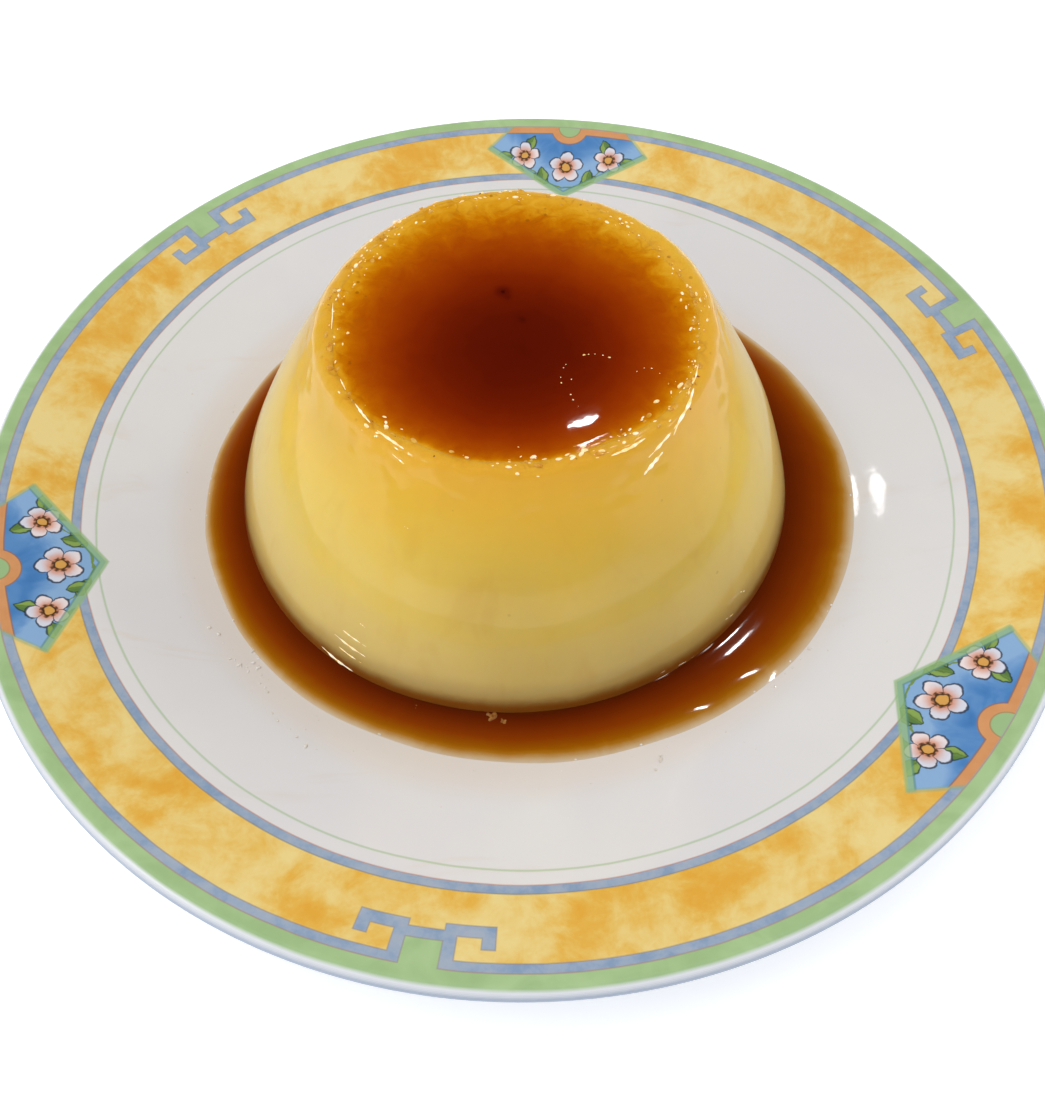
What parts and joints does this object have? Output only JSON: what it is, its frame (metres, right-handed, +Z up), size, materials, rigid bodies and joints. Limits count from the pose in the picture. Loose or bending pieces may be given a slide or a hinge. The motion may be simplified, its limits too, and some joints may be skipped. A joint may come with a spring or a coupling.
{
  "type": "creme caramel flan on a dessert plate",
  "caption": "Turned-out baked custard with a dished top full of dark caramel, standing in a pool of syrup on a round porcelain plate with a painted border.",
  "frame": {"origin": "middle of the plate's foot, on the surface that the plate stands on", "axes": "+Z up; -Y towards the eater; +X to the eater's right"},
  "size_m": [0.18, 0.18, 0.0457],
  "materials": {
    "porcelain": "glossy white glaze with a painted border",
    "custard": "moist, smooth and slightly see-through",
    "caramel": "wet, clear amber syrup"
  },
  "bodies": {
    "root": {"plate": "porcelain", "custard": "custard", "caramel_top": "caramel", "caramel_pool": "caramel"}
  },
  "joints": []
}
